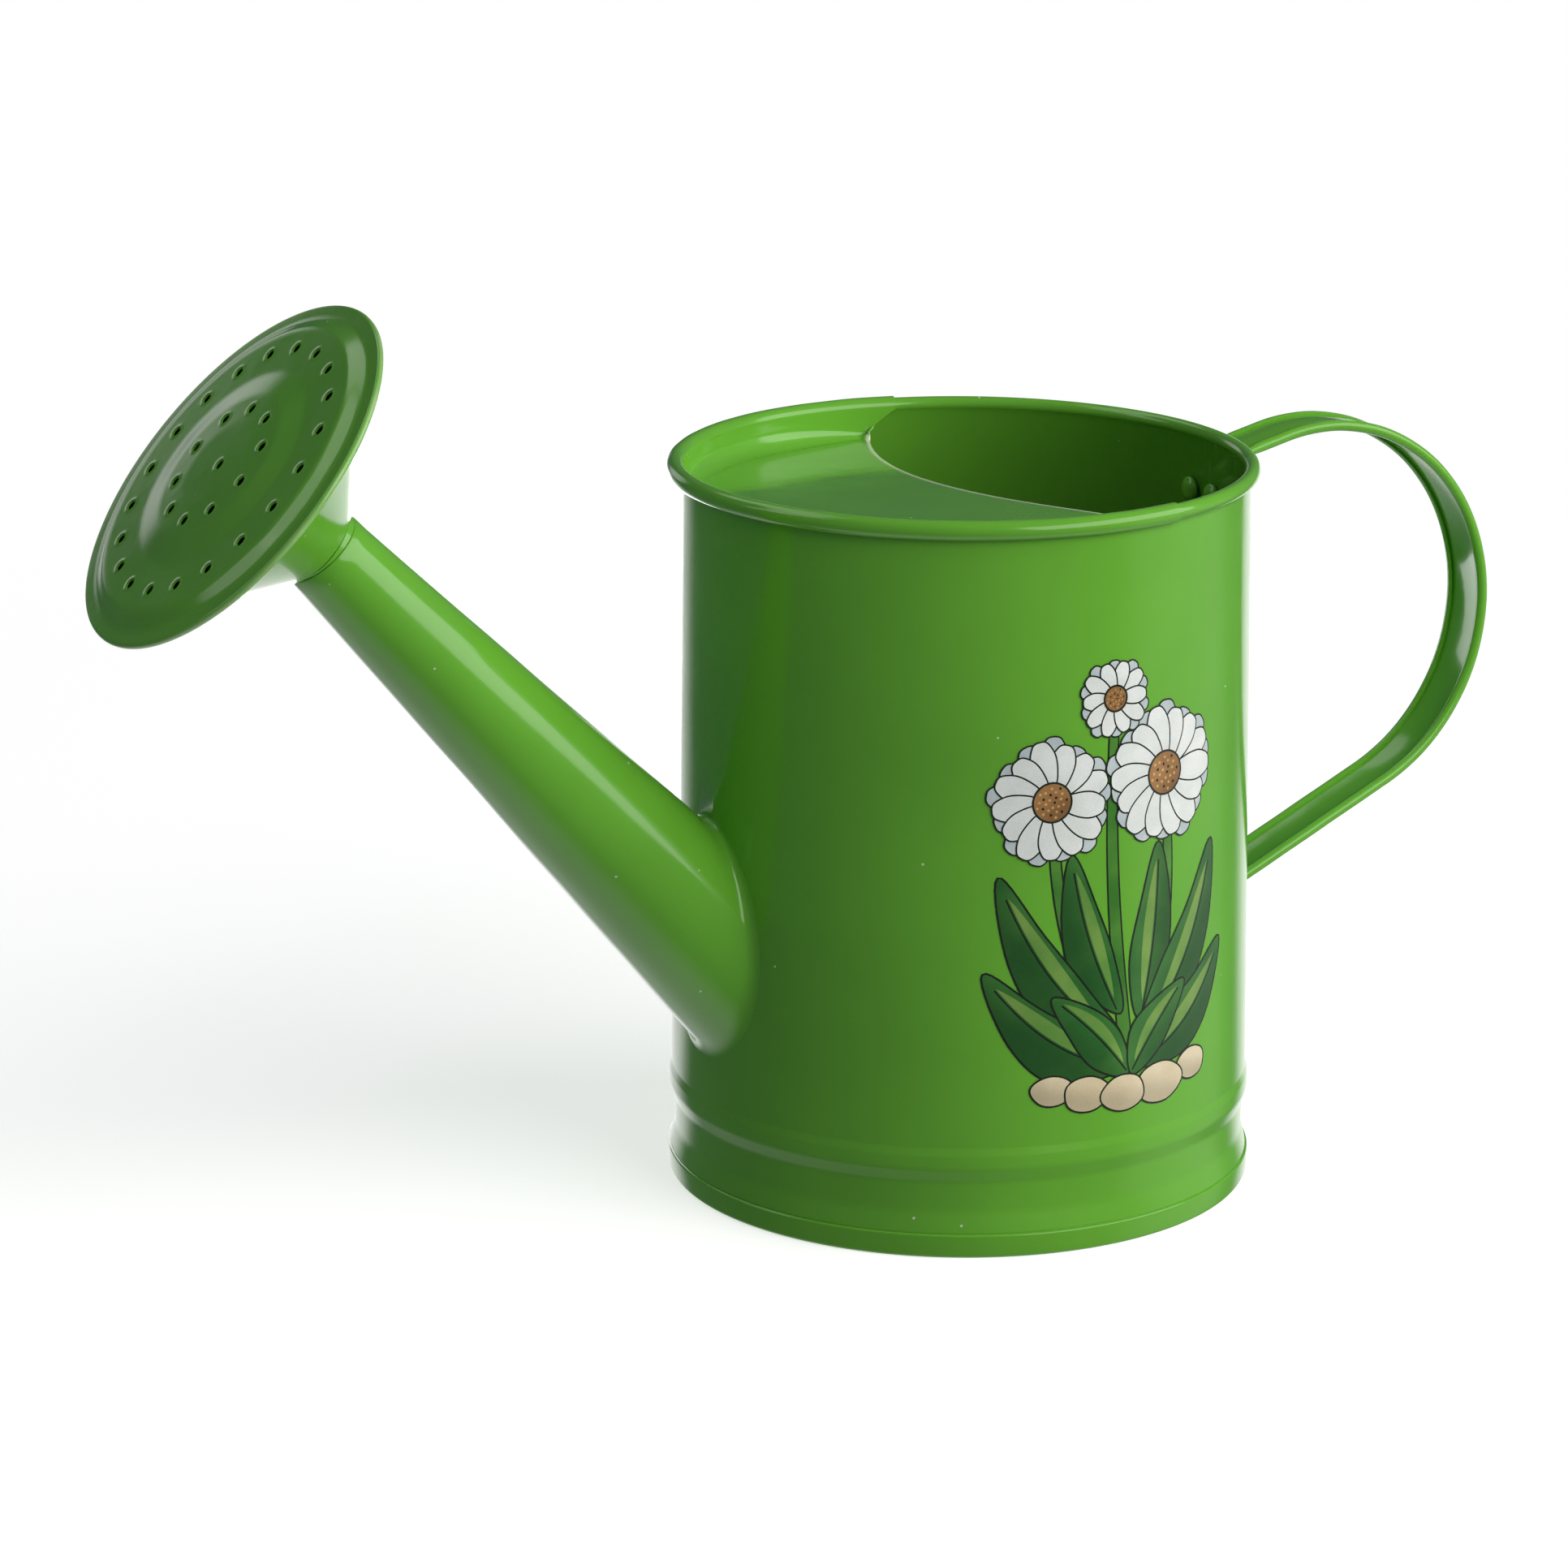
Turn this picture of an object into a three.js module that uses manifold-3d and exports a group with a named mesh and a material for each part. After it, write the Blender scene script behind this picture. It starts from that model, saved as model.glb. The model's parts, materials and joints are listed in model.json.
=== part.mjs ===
// A small enamelled sheet-metal watering can: a tapered body with a seamed base, a half cover
// under the rim, a straight tapered spout with a push-fit rose, and a riveted strap handle.
// Millimetres, +Z up. The spout points along -X, the handle along +X, the decal faces -Y.
// The origin is on the ground under the middle of the whole object.

import * as THREE from 'three';
import { mergeVertices } from 'three/addons/utils/BufferGeometryUtils.js';
import Module from 'manifold-3d';

const wasm = await Module();
wasm.setup();

// ---- driving dimensions -------------------------------------------------------------------

const sheet = 0.6; // thickness of the formed sheet
const gap = 0.3; // clearance between pieces that touch
const around = 48; // facets round the body

// Body, measured from its own axis.
const rimHeight = 161.5; // ground to the top of the rolled edge, which the cover's hem wraps
const mouthRadius = 62.2; // outside of the wall just under the rim
const footRadius = 64.1; // outside of the wall just above the rib
const seamRadius = 65; // outside of the base seam
const seamHeight = 5.4;
const waistRadius = 63.3; // outside of the wall just below the rib
const ribLow = 17.4;
const ribHigh = 24.6;
const ribRise = 1.1; // how far the rib stands out of the line between its two ends
const beadRadius = 1.6; // the rolled edge of the wall
const beadCentreRadius = 62.7;
const panFloor = 4.4; // underside of the recessed floor
const panStep = 0.9; // width of the inner leg of the base seam

// Half cover under the rim.
const coverHeight = 156.2; // on the body's axis
const coverTilt = 0.049; // rise per millimetre towards -Y
const coverSheet = 0.5;
const coverEdge = 7.1; // how far the free edge stops short of the axis plane
const coverSweep = 15.9; // how far the bowed free edge runs back by the time it meets the wall
const hemAngle = 105; // the hem wraps the rim this far each side of the spout, in degrees

// Spout: a cone on an axis that leaves the body's axis plane at this place.
const spoutRoot = new THREE.Vector3(-62, 0, 61.4);
const spoutLength = 130.5;
const spoutElevation = 47;
const spoutRootRadius = 17.7;
const spoutTaper = 0.0659; // radius lost per millimetre
const flangeWidth = 2.2;

// Rose: its axis crosses the middle of the spout's mouth, a little flatter than the spout.
const mouth = new THREE.Vector3(-151.3, 0, 157.3);
const roseElevation = 41.7;
const roseRadius = 42.1;
const brimPlane = 24.8; // mouth to the plane of the brim
const funnelMouthRadius = 9;
const funnelSlope = 1.09; // radius gained per millimetre
const neckLength = 12;
const neckRadius = 7.6;
const neckEndRadius = 7;
const holeRadius = 0.9;
const holeRings = [
  { radius: 0, count: 1 },
  { radius: 13.7, count: 10 },
  { radius: 29.8, count: 20 },
];
const holeTurn = 13.1; // degrees from the top of the face to the first hole of each ring

// Handle: a flat strap with rolled edges.
const strapWidth = 14;
const strapSheet = 0.8;
const strapBead = 1.2;
const bowCentre = new THREE.Vector2(90, 115.4);
const bowRadius = 44.4;
const limbSlope = 25.2; // degrees above level
const bowEnd = 104; // degrees round the bow where the top runs straight to the rim
const footBend = 5; // radius of the bend into each foot
const upperFoot = { low: 138, rivets: 146.5 };
const lowerFoot = { low: 37.5, rivets: 44 };
const rivetSpacing = 9;
const shankRadius = 1.4;
const innerHead = { radius: 3, rise: 1.3 };
const outerHead = { radius: 2.4, rise: 1.2 };

// Decal: a thin printed transfer on the -Y side.
const decalFilm = 0.3;

// ---- tools ----------------------------------------------------------------------------------

const degrees = THREE.MathUtils.degToRad;

// A closed geometry as a solid, with its vertices merged and its faces turned outwards.
function solid(geometry) {
  const bare = new THREE.BufferGeometry();
  bare.setAttribute('position', geometry.getAttribute('position'));
  bare.setIndex(geometry.getIndex());
  const merged = mergeVertices(bare, 1e-4);
  const positions = merged.getAttribute('position');
  const corners = [new THREE.Vector3(), new THREE.Vector3(), new THREE.Vector3()];
  const triangles = [];
  let volume = 0;
  for (let start = 0; start < merged.index.count; start += 3) {
    const triangle = [0, 1, 2].map((corner) => merged.index.getX(start + corner));
    if (new Set(triangle).size < 3) continue;
    triangles.push(...triangle);
    triangle.forEach((vertex, corner) => corners[corner].fromBufferAttribute(positions, vertex));
    volume += corners[0].dot(corners[1].clone().cross(corners[2]));
  }
  if (volume < 0) triangles.reverse();
  return new wasm.Manifold(new wasm.Mesh({
    numProp: 3,
    vertProperties: new Float32Array(positions.array),
    triVerts: new Uint32Array(triangles),
  }));
}

function join(first, ...others) {
  return others.reduce((whole, other) => whole.add(other), first);
}

function cut(first, ...others) {
  return others.reduce((whole, other) => whole.subtract(other), first);
}

function node(name, shape, material) {
  const { vertProperties, triVerts } = shape.getMesh();
  const geometry = new THREE.BufferGeometry();
  geometry.setAttribute('position', new THREE.BufferAttribute(new Float32Array(vertProperties), 3));
  geometry.setIndex(new THREE.BufferAttribute(new Uint32Array(triVerts), 1));
  geometry.computeVertexNormals();
  const mesh = new THREE.Mesh(geometry, material);
  mesh.name = name;
  return mesh;
}

// A solid of revolution about Z from (radius, height) pairs.
function turned(profile, segments) {
  const points = profile.map(([radius, height]) => new THREE.Vector2(radius, height));
  return new THREE.LatheGeometry(points, segments).rotateX(Math.PI / 2);
}

// A closed ring profile repeats its first point at the end.
function ring(profile, segments) {
  return turned([...profile, profile[0]], segments);
}

// A frustum about Z standing between two heights.
function frustum(lowRadius, highRadius, low, high, segments) {
  return new THREE.CylinderGeometry(highRadius, lowRadius, high - low, segments)
    .rotateX(Math.PI / 2)
    .translate(0, 0, (low + high) / 2);
}

// Points on a circle in a profile, from one angle to another in degrees.
function arc(centreX, centreY, radius, from, to, steps) {
  return Array.from({ length: steps + 1 }, (_, step) => {
    const angle = degrees(from + ((to - from) * step) / steps);
    return [centreX + radius * Math.cos(angle), centreY + radius * Math.sin(angle)];
  });
}

// Tips a geometry built along +Z so that it points towards -X at an elevation.
function lean(geometry, elevation, place) {
  return geometry.rotateY(-degrees(90 - elevation)).translate(place.x, place.y, place.z);
}

// ---- materials ------------------------------------------------------------------------------

const enamel = () => new THREE.MeshStandardMaterial({ color: '#62a62c', roughness: 0.2, metalness: 0 });
const print = () => new THREE.MeshStandardMaterial({ color: '#f1efe6', roughness: 0.3, metalness: 0 });

// ---- body -----------------------------------------------------------------------------------

const wallTop = rimHeight - 2 * beadRadius;
const wallTaper = (footRadius - mouthRadius) / (wallTop - ribHigh);

// Outside radius of the plain wall above the rib.
function wallRadius(height) {
  return mouthRadius + wallTaper * (wallTop - height);
}

// The wall's outside line, from its foot in the seam up to the rolled edge.
function wallLine() {
  const ribSteps = 5;
  const rib = Array.from({ length: ribSteps + 1 }, (_, step) => {
    const share = step / ribSteps;
    const radius = THREE.MathUtils.lerp(waistRadius, footRadius, share);
    return [radius + ribRise * Math.sin(Math.PI * share), THREE.MathUtils.lerp(ribLow, ribHigh, share)];
  });
  return [[footRadius, sheet + gap], [footRadius, seamHeight], ...rib, [mouthRadius, wallTop]];
}

// The rolled edge, from where it leaves the outside of the wall to where it meets the inside.
function rolledEdge() {
  const from = THREE.MathUtils.radToDeg(-Math.acos((mouthRadius - beadCentreRadius) / beadRadius));
  const inside = mouthRadius - sheet;
  const to = 360 - THREE.MathUtils.radToDeg(Math.acos((inside - beadCentreRadius) / beadRadius));
  return arc(beadCentreRadius, rimHeight - beadRadius, beadRadius, from, to, 9);
}

function bodyWall() {
  const outside = wallLine();
  const inside = outside.map(([radius, height]) => [radius - sheet, height]).reverse();
  const wall = solid(ring([...outside, ...rolledEdge(), ...inside], around));
  return cut(wall, spoutBore(), ...rivetHoles());
}

function bottomPan() {
  const skirt = seamRadius - sheet;
  const leg = footRadius - sheet - gap;
  return solid(turned([
    [0, panFloor],
    [leg - panStep - 1.5, panFloor],
    [leg - panStep, panFloor - 1.5],
    [leg - panStep, 0],
    [seamRadius - 0.4, 0],
    [seamRadius, 0.4],
    [seamRadius, seamHeight - 0.3],
    [seamRadius - 0.3, seamHeight],
    [skirt, seamHeight],
    [skirt, sheet],
    [leg, sheet],
    [leg, panFloor + sheet],
    [0, panFloor + sheet],
  ], around));
}

// The body as a plain tapered plug, grown by a margin.
function plug(margin, low, high) {
  return solid(frustum(wallRadius(low) + margin, wallRadius(high) + margin, low, high, around));
}

// ---- half cover -----------------------------------------------------------------------------

function coverPlan() {
  const reach = seamRadius;
  const plan = new THREE.Shape();
  const steps = 16;
  plan.moveTo(-reach - 5, -reach);
  for (let step = 0; step <= steps; step += 1) {
    const across = THREE.MathUtils.lerp(-reach, reach, step / steps);
    plan.lineTo(coverSweep * (across / mouthRadius) ** 2 - coverEdge, across);
  }
  plan.lineTo(-reach - 5, reach);
  plan.closePath();
  return plan;
}

function hemSector() {
  const reach = 2 * seamRadius;
  const sector = new THREE.Shape();
  sector.moveTo(0, 0);
  sector.absarc(0, 0, reach, Math.PI - degrees(hemAngle), Math.PI + degrees(hemAngle));
  sector.closePath();
  return new THREE.ExtrudeGeometry(sector, { depth: 30, bevelEnabled: false, curveSegments: 12 })
    .translate(0, 0, rimHeight - 20);
}

// A slab that follows the cover's tilt, from the cover's underside up to a thickness.
function coverSlab(thickness) {
  const width = 3 * seamRadius;
  return new THREE.BoxGeometry(width, width, thickness)
    .translate(0, 0, thickness / 2)
    .rotateX(-Math.atan(coverTilt))
    .translate(0, 0, coverHeight - coverSheet);
}

function halfCover() {
  const edgeHeight = rimHeight - beadRadius;
  const inner = beadRadius + gap;
  const outer = inner + coverSheet;
  const hemEnd = -80;
  const upstand = beadCentreRadius - outer;
  const low = coverHeight - 10;
  const hem = solid(ring([
    [upstand, low],
    [upstand + coverSheet, low],
    ...arc(beadCentreRadius, edgeHeight, inner, 180, hemEnd, 8),
    ...arc(beadCentreRadius, edgeHeight, outer, hemEnd, 180, 8),
  ], around));
  const crescent = solid(new THREE.ExtrudeGeometry(coverPlan(), { depth: 40, bevelEnabled: false })
    .translate(0, 0, rimHeight - 30));
  const disc = solid(frustum(upstand + 0.2, upstand + 0.2, low, rimHeight, around));
  const plate = disc.intersect(solid(coverSlab(coverSheet))).intersect(crescent);
  const rimPart = hem.intersect(solid(hemSector())).intersect(solid(coverSlab(20)));
  return join(plate, rimPart);
}

// ---- spout ----------------------------------------------------------------------------------

function spoutCone(margin, from, to) {
  const low = spoutRootRadius - spoutTaper * from + margin;
  const high = spoutRootRadius - spoutTaper * to + margin;
  return solid(lean(frustum(low, high, from, to, 32), spoutElevation, spoutRoot));
}

function spoutBore() {
  return spoutCone(-sheet, -25, spoutLength + 5);
}

function spoutTube() {
  const low = 20;
  const high = 110;
  const skin = cut(plug(gap + sheet, low, high), plug(gap, low - 1, high + 1));
  const flange = skin.intersect(spoutCone(flangeWidth, -20, 30));
  const tube = cut(spoutCone(0, -20, spoutLength), plug(gap, low, high));
  return cut(join(tube, flange), spoutBore());
}

// ---- rose -----------------------------------------------------------------------------------
// These are turned about the rose's own axis, from 0 at the spout's mouth outwards.

function funnelRadius(along) {
  return funnelMouthRadius + funnelSlope * along;
}

const funnelStart = 0.75;
const funnelEnd = 22;
const crimp = brimPlane - 2.3; // back of the lip that holds the funnel's flange
const funnelWall = sheet * Math.hypot(1, funnelSlope); // sheet thickness measured across the axis

function roseNeck() {
  const inside = (radius) => radius - sheet;
  const lapLow = funnelStart + 2.2;
  const lapHigh = lapLow + 4;
  const flare = funnelStart + 0.15;
  const lap = (along) => funnelRadius(along) - funnelWall - gap * Math.hypot(1, funnelSlope);
  return solid(ring([
    [neckEndRadius, -neckLength],
    [neckRadius, flare],
    [lap(lapLow), lapLow],
    [lap(lapHigh), lapHigh],
    [lap(lapHigh) - funnelWall, lapHigh],
    [inside(neckRadius), flare + 0.4],
    [inside(neckEndRadius), -neckLength],
  ], 24));
}

function roseFunnel() {
  const flangeRadius = roseRadius - sheet - gap;
  const flangeBack = crimp + sheet + gap;
  return solid(ring([
    [funnelMouthRadius - 0.2, funnelStart - 0.2],
    [funnelRadius(funnelStart + 1.5), funnelStart + 1.5],
    [funnelRadius(funnelEnd), funnelEnd],
    [funnelRadius(funnelEnd) + 2.2, flangeBack],
    [flangeRadius, flangeBack],
    [flangeRadius, flangeBack + 0.5],
    [funnelRadius(funnelEnd) + 1.6, flangeBack + 0.5],
    [funnelRadius(funnelEnd) - funnelWall, funnelEnd + 0.2],
    [funnelRadius(funnelStart + 1.5) - funnelWall, funnelStart + 1.5],
    [funnelMouthRadius - funnelWall, funnelStart],
  ], 36));
}

// The face steps up twice towards its middle, and its edge wraps back round the flange.
function roseFace() {
  const front = [
    [roseRadius - 0.5, brimPlane],
    [37, brimPlane + 0.2],
    [35.6, brimPlane + 0.9],
    [34, brimPlane + 2.2],
    [33, brimPlane + 2.5],
    [24, brimPlane + 2.8],
    [18, brimPlane + 3.9],
    [0, brimPlane + 4.2],
  ];
  const back = front.map(([radius, along]) => [radius, along - sheet]).reverse();
  const lip = roseRadius - 3;
  const outline = [
    ...back.slice(0, -1),
    [roseRadius - sheet, brimPlane - sheet],
    [roseRadius - sheet, crimp + sheet],
    [lip, crimp + sheet],
    [lip, crimp],
    [roseRadius - 0.4, crimp],
    [roseRadius, crimp + 0.5],
    [roseRadius, brimPlane - 0.4],
    ...front,
  ];
  return cut(solid(turned(outline, 36)), ...roseHoles());
}

function roseHoles() {
  return holeRings.flatMap(({ radius, count }) => Array.from({ length: count }, (_, index) => {
    const turn = degrees(holeTurn) + (2 * Math.PI * index) / count;
    return solid(frustum(holeRadius, holeRadius, brimPlane, brimPlane + 6, 8)
      .translate(radius * Math.cos(turn), radius * Math.sin(turn), 0));
  }));
}

// ---- handle ---------------------------------------------------------------------------------

const footClearance = gap + strapSheet / 2;
const upperFootX = wallRadius(upperFoot.low) + footClearance;
const lowerFootX = wallRadius(lowerFoot.low) + footClearance;
const bowStart = limbSlope - 90;
const topSlope = bowEnd - 90;

// Centre of a foot's bend, so that the bend runs on into the straight that leaves the bow.
function bendCentre(footX, bowAngle, slope) {
  const [[bowX, bowZ]] = arc(bowCentre.x, bowCentre.y, bowRadius, bowAngle, bowAngle, 1);
  const x = footX + footBend;
  const z = bowZ + (x - bowX) * Math.tan(degrees(slope)) - footBend / Math.cos(degrees(slope));
  return new THREE.Vector2(x, z);
}

const lowerBend = bendCentre(lowerFootX, bowStart, limbSlope);
const upperBend = bendCentre(upperFootX, bowEnd, topSlope);

// One side of the strap from foot to foot, offset outwards from its middle line.
function strapSide(offset) {
  return [
    [lowerFootX + offset, lowerFoot.low],
    ...arc(lowerBend.x, lowerBend.y, footBend - offset, 180, 90 + limbSlope, 5),
    ...arc(bowCentre.x, bowCentre.y, bowRadius + offset, bowStart, bowEnd, 26),
    ...arc(upperBend.x, upperBend.y, footBend + offset, 90 + topSlope, 180, 6),
    [upperFootX - offset, upperFoot.low],
  ];
}

// The same side without its feet: the rolled edges start on the limb and end with the bow.
function beadSide(offset) {
  const [[startX, startZ]] = arc(lowerBend.x, lowerBend.y, footBend - offset, 90 + limbSlope, 180, 1);
  const setback = 3;
  return [
    [startX + setback, startZ + setback * Math.tan(degrees(limbSlope))],
    ...arc(bowCentre.x, bowCentre.y, bowRadius + offset, bowStart, bowEnd, 26),
  ];
}

// A strip between two offset sides of the strap, standing across Y, with optional chamfers.
function strip(side, thickness, width, chamfer) {
  const half = thickness / 2 - chamfer;
  const outline = [...side(half), ...side(-half).reverse()];
  return solid(new THREE.ExtrudeGeometry(
    new THREE.Shape(outline.map(([x, z]) => new THREE.Vector2(x, z))),
    {
      depth: width - 2 * chamfer,
      bevelEnabled: chamfer > 0,
      bevelSize: chamfer,
      bevelThickness: chamfer,
      bevelSegments: 1,
    },
  ).rotateX(Math.PI / 2).translate(0, width / 2 - chamfer, 0));
}

function handleStrap() {
  const web = strip(strapSide, strapSheet, strapWidth - 2 * gap, 0);
  const beads = [-1, 1].map((side) => strip(beadSide, 2 * strapBead, 2 * strapBead, 0.6)
    .translate(0, side * (strapWidth / 2 - strapBead), 0));
  return cut(join(web, ...beads), ...rivetHoles());
}

// ---- rivets ---------------------------------------------------------------------------------

const rivetPlaces = [
  { name: 'rivet_upper', height: upperFoot.rivets, strapX: upperFootX },
  { name: 'rivet_lower', height: lowerFoot.rivets, strapX: lowerFootX },
].flatMap(({ name, height, strapX }) => [
  { name: `${name}_front`, height, strapX, across: -rivetSpacing / 2 },
  { name: `${name}_back`, height, strapX, across: rivetSpacing / 2 },
]);

// Turned along +X: a low domed head inside the wall, a shank, and a domed head on the strap.
function rivet({ height, strapX, across }) {
  const wallInside = wallRadius(height) - sheet;
  const seat = Math.sqrt(wallInside ** 2 - (Math.abs(across) + innerHead.radius) ** 2) - gap;
  const strapFace = strapX + strapSheet / 2 + gap;
  const dome = (head, share) => [head.radius * Math.cos(share), head.rise * Math.sin(share)];
  const shares = [1, 2 / 3, 1 / 3, 0].map((part) => (part * Math.PI) / 2);
  const inner = shares.map((share) => dome(innerHead, share)).map(([radius, rise]) => [radius, seat - rise]);
  const outer = shares.map((share) => dome(outerHead, share)).reverse();
  inner[0][0] = 0;
  outer[outer.length - 1][0] = 0;
  const profile = [
    ...inner,
    [shankRadius, seat],
    [shankRadius, strapFace],
    ...outer.map(([radius, rise]) => [radius, strapFace + rise]),
  ];
  return solid(turned(profile, 12).rotateY(Math.PI / 2).translate(0, across, height));
}

function rivetHoles() {
  return rivetPlaces.map(({ height, across }) => {
    const radius = shankRadius + gap;
    return solid(frustum(radius, radius, 50, 80, 12).rotateY(Math.PI / 2).translate(0, across, height));
  });
}

// ---- decal ----------------------------------------------------------------------------------

// Three flower heads over a clump of leaves and a bank of pebbles, as one outline of film.
function decalShapes() {
  const oval = (x, z, halfWidth, halfHeight) => (
    new THREE.Shape().absellipse(x, z, halfWidth, halfHeight, 0, 2 * Math.PI)
  );
  return [
    oval(-13, 99, 15, 15),
    oval(16, 104, 16, 16),
    oval(0, 122, 9, 9),
    oval(4, 66, 29, 29),
    oval(4, 37, 21, 6.5),
  ];
}

function decal() {
  const low = 25;
  const high = 140;
  const film = cut(plug(gap + decalFilm, low, high), plug(gap, low - 1, high + 1));
  const prints = decalShapes().map((shape) => solid(
    new THREE.ExtrudeGeometry(shape, { depth: 80, bevelEnabled: false, curveSegments: 16 })
      .rotateX(Math.PI / 2),
  ));
  return film.intersect(join(...prints));
}

// ---- assembly -------------------------------------------------------------------------------

const can = new THREE.Group();
can.add(
  node('body_wall', bodyWall(), enamel()),
  node('bottom_pan', bottomPan(), enamel()),
  node('half_cover', halfCover(), enamel()),
  node('spout_tube', spoutTube(), enamel()),
  node('handle_strap', handleStrap(), enamel()),
  node('decal', decal(), print()),
);
rivetPlaces.forEach((place) => can.add(node(place.name, rivet(place), enamel())));

const rose = new THREE.Group();
rose.position.copy(mouth);
rose.rotation.y = -degrees(90 - roseElevation);
rose.add(
  node('rose_neck', roseNeck(), enamel()),
  node('rose_funnel', roseFunnel(), enamel()),
  node('rose_face', roseFace(), enamel()),
);
can.add(rose);

// The middle of the whole length stands over the origin.
can.updateMatrixWorld(true);
const middle = new THREE.Box3().setFromObject(can, true).getCenter(new THREE.Vector3());
can.position.x = -middle.x;

const wateringCan = new THREE.Group();
wateringCan.add(can);
export default wateringCan;
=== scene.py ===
"""The looks of a small enamelled watering can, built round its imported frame. Lengths are in millimetres
in the row frame until a mesh is made, where MM turns them into metres."""

import json
import math

import bmesh
import bpy
import numpy as np
from mathutils import Matrix, Vector, geometry, noise

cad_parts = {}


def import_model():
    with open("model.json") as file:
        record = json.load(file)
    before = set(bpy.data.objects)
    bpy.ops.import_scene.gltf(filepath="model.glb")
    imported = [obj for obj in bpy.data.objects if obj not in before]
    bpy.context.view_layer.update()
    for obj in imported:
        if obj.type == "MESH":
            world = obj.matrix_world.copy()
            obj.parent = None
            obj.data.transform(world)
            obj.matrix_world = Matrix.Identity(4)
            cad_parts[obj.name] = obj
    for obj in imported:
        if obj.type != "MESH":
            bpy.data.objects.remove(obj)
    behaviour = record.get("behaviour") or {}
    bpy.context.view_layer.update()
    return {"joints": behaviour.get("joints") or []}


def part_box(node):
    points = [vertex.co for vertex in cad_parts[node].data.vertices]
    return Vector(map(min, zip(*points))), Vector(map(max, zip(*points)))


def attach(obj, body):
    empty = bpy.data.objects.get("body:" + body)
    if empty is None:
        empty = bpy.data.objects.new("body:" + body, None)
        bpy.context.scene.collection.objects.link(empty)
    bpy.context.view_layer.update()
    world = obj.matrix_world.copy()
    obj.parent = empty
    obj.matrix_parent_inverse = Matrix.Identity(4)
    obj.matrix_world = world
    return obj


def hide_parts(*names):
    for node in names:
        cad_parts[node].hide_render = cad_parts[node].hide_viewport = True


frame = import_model()

MM = 0.001


# ---- sizes taken from the frame -------------------------------------------------------------

def node_box(node):
    low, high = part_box(node)
    return low / MM, high / MM


pan_low, pan_high = node_box("bottom_pan")
AXIS_X = (pan_low.x + pan_high.x) / 2
SEAM_RADIUS = (pan_high.x - pan_low.x) / 2
SEAM_HEIGHT = pan_high.z
twist = next(joint for joint in frame["joints"] if joint["name"] == "rose_twist")
MOUTH = Vector(twist["pos_m"]) / MM
ROSE_AXIS = Vector(twist["axis"]).normalized()

# ---- sizes of the sheet metal ---------------------------------------------------------------

SHEET = 0.45
WALL_TOP_RADIUS = SEAM_RADIUS - 2.8
WALL_FOOT_RADIUS = SEAM_RADIUS - 0.9
WAIST_RADIUS = SEAM_RADIUS - 1.7
RIB_LOW = 17.4
RIB_HIGH = 24.6
RIM_CENTRE_RADIUS = 62.6
RIM_CENTRE_Z = 160.0
RIM_BEAD = 1.7
HEM_BEAD = RIM_BEAD + 0.4
WALL_TOP = RIM_CENTRE_Z - RIM_BEAD
COVER_Z = 156.2
COVER_TILT = 0.049
HEM_END = math.radians(105)
EDGE_END = math.radians(98)
UPSTAND = RIM_CENTRE_RADIUS - HEM_BEAD
EDGE_HALF = (UPSTAND - 1.6) * math.sin(EDGE_END)
COVER_SHEET = 0.32
SPOUT_ROOT = Vector((AXIS_X - 62, 0, 61.4))
SPOUT_ELEVATION = math.radians(47)
SPOUT_LENGTH = 130.5
SPOUT_ROOT_RADIUS = 17.7
SPOUT_TAPER = 0.0659
BRIM_PLANE = 24.8
ROSE_RADIUS = 42.1
HOLE_RADIUS = 1.05
HOLE_RINGS = ((0.0, 1), (13.7, 10), (29.8, 20))
HOLE_PHASE = math.radians(13.1)


# ---- mesh tools -----------------------------------------------------------------------------

def add_to_scene(item):
    bpy.context.scene.collection.objects.link(item)
    return item


def make_object(name, vertices, faces, materials, sharp=35, merge=0.002):
    """A mesh object from points in millimetres, shaded smooth but for its sharp edges."""
    mesh = bpy.data.meshes.new(name)
    mesh.from_pydata([Vector(v) * MM for v in vertices], [], faces)
    piece = add_to_scene(bpy.data.objects.new(name, mesh))
    tidy_mesh(mesh, merge)
    for material in materials:
        mesh.materials.append(material)
    smooth(mesh, sharp)
    return piece


def tidy_mesh(mesh, merge=0.002):
    work = bmesh.new()
    work.from_mesh(mesh)
    bmesh.ops.remove_doubles(work, verts=work.verts, dist=merge * MM)
    bmesh.ops.dissolve_degenerate(work, edges=work.edges, dist=1e-8)
    bmesh.ops.recalc_face_normals(work, faces=work.faces)
    work.to_mesh(mesh)
    work.free()


def smooth(mesh, sharp):
    mesh.polygons.foreach_set("use_smooth", [True] * len(mesh.polygons))
    mesh.set_sharp_from_angle(angle=math.radians(sharp))


def grid_faces(rows, columns, wrap_rows=False, wrap_columns=False):
    faces = []
    for row in range(rows if wrap_rows else rows - 1):
        for column in range(columns if wrap_columns else columns - 1):
            next_row = (row + 1) % rows
            next_column = (column + 1) % columns
            faces.append((row * columns + column, row * columns + next_column,
                          next_row * columns + next_column, next_row * columns + column))
    return faces


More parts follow.
